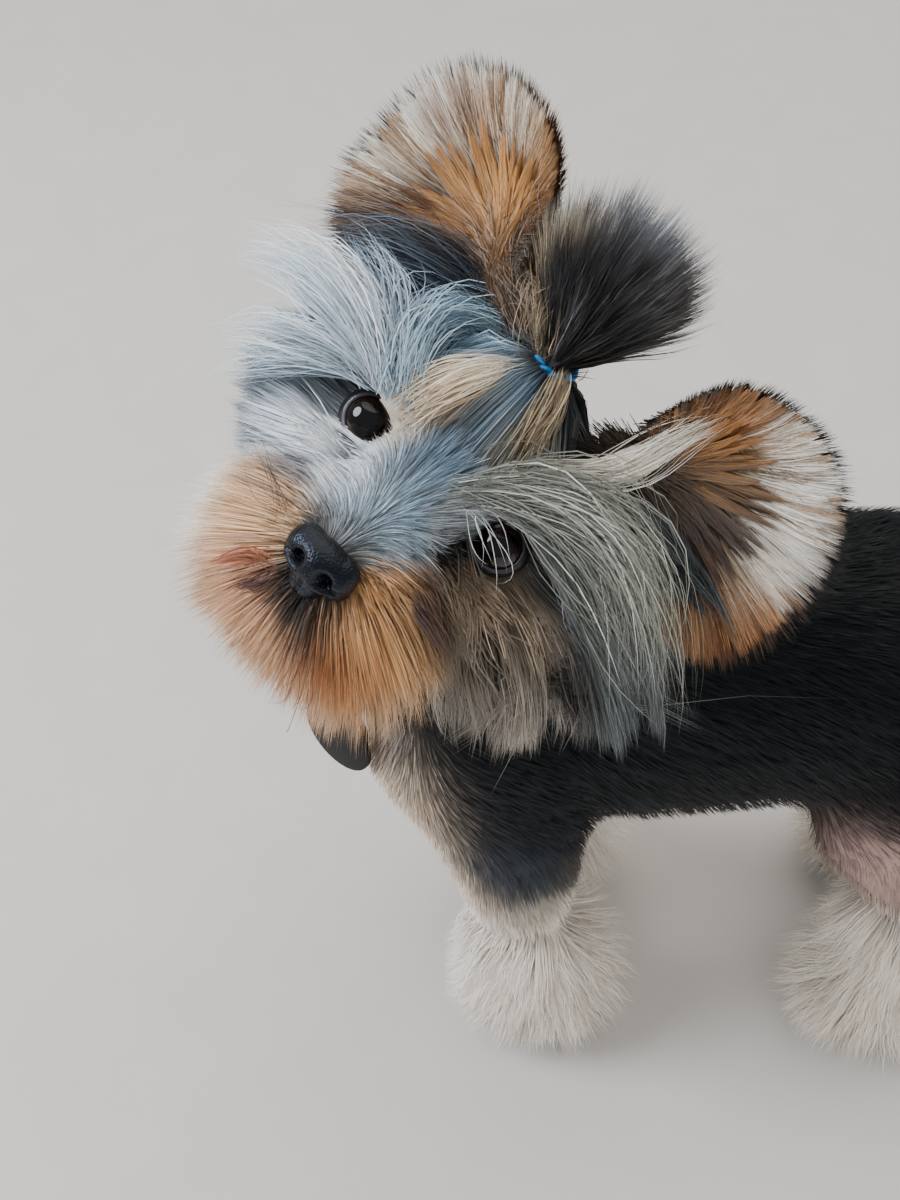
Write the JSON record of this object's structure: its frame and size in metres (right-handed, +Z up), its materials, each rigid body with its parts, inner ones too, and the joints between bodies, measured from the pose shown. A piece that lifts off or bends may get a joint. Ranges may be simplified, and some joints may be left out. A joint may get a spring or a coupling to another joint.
{
  "type": "yorkshire terrier",
  "caption": "Small long-haired dog in a trimmed coat, standing with its head turned to one side and raised, with a topknot, collar and bare tags.",
  "frame": {"origin": "on the floor, under the middle of the dog's bounding box", "axes": "+Z up, the body faces -Y and its left side is +X; the head is turned to the dog's left"},
  "size_m": [0.1572, 0.2884, 0.3228],
  "materials": {
    "silver_coat": "long silver-grey hair",
    "steel_coat": "short steel-blue hair",
    "tan_coat": "golden tan hair",
    "cream_coat": "long cream hair",
    "nose_leather": "pebbled, moist",
    "eye": "wet",
    "elastic": "satin",
    "strap": "plain weave",
    "tag_metal": "satin",
    "wire": "satin"
  },
  "bodies": {
    "root": {"nose": "nose_leather", "muzzle": "tan_coat", "head": "silver_coat", "eye_left": "eye", "eye_right": "eye", "ear_left": "tan_coat", "ear_right": "tan_coat", "cheek_left": "silver_coat", "cheek_right": "silver_coat", "topknot": "steel_coat", "topknot_band": "elastic", "neck": "silver_coat", "collar": "strap", "tag_ring": "wire", "tag": "tag_metal", "tag_behind": "tag_metal", "trunk": "steel_coat", "tail": "steel_coat", "foreleg_left": "tan_coat", "foreleg_right": "tan_coat", "fore_boot_left": "cream_coat", "fore_boot_right": "cream_coat", "hindleg_left": "tan_coat", "hindleg_right": "tan_coat", "hind_boot_left": "cream_coat", "hind_boot_right": "cream_coat"}
  },
  "joints": []
}
